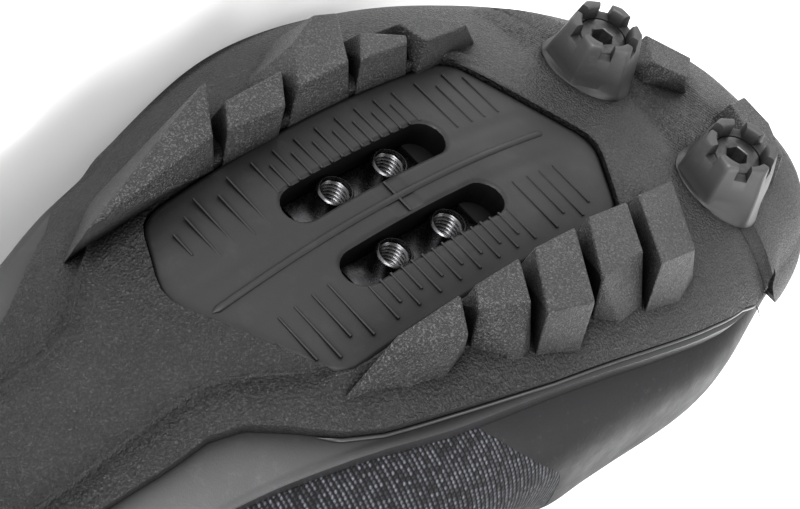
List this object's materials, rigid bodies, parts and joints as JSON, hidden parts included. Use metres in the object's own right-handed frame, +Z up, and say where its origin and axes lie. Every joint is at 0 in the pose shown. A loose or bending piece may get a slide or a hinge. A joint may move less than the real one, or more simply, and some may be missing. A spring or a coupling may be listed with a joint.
{
  "type": "cycling shoe",
  "caption": "Black off-road cycling shoe for the right foot, lying on its outer side: lugged rubber sole, cleat insert with threaded barrels, toe studs, hollow strapped upper",
  "frame": {"origin": "on the floor, at the middle of the shoe's box, as it lies on its outer side", "axes": "+X towards the heel along the shoe's length, -Y out of the tread, +Z up towards the shoe's inner side"},
  "size_m": [0.2908, 0.127, 0.0933],
  "materials": {
    "rubber": "matte",
    "insert plastic": "satin",
    "sole shell plastic": "gloss",
    "blackened steel": "satin",
    "upper film and cloth": "satin",
    "tongue cloth": "matte",
    "strap webbing": "matte",
    "insole foam": "matte"
  },
  "bodies": {
    "root": {"outsole": "rubber", "cleat_insert": "insert plastic", "nut_plate": "blackened steel", "toe_stud_outer": "insert plastic", "toe_stud_inner": "insert plastic", "stud_screw_outer": "blackened steel", "stud_screw_inner": "blackened steel", "sole_shell": "sole shell plastic", "upper": "upper film and cloth", "tongue": "tongue cloth", "strap_front": "strap webbing", "strap_middle": "strap webbing", "strap_instep": "strap webbing", "insole": "insole foam"}
  },
  "joints": []
}
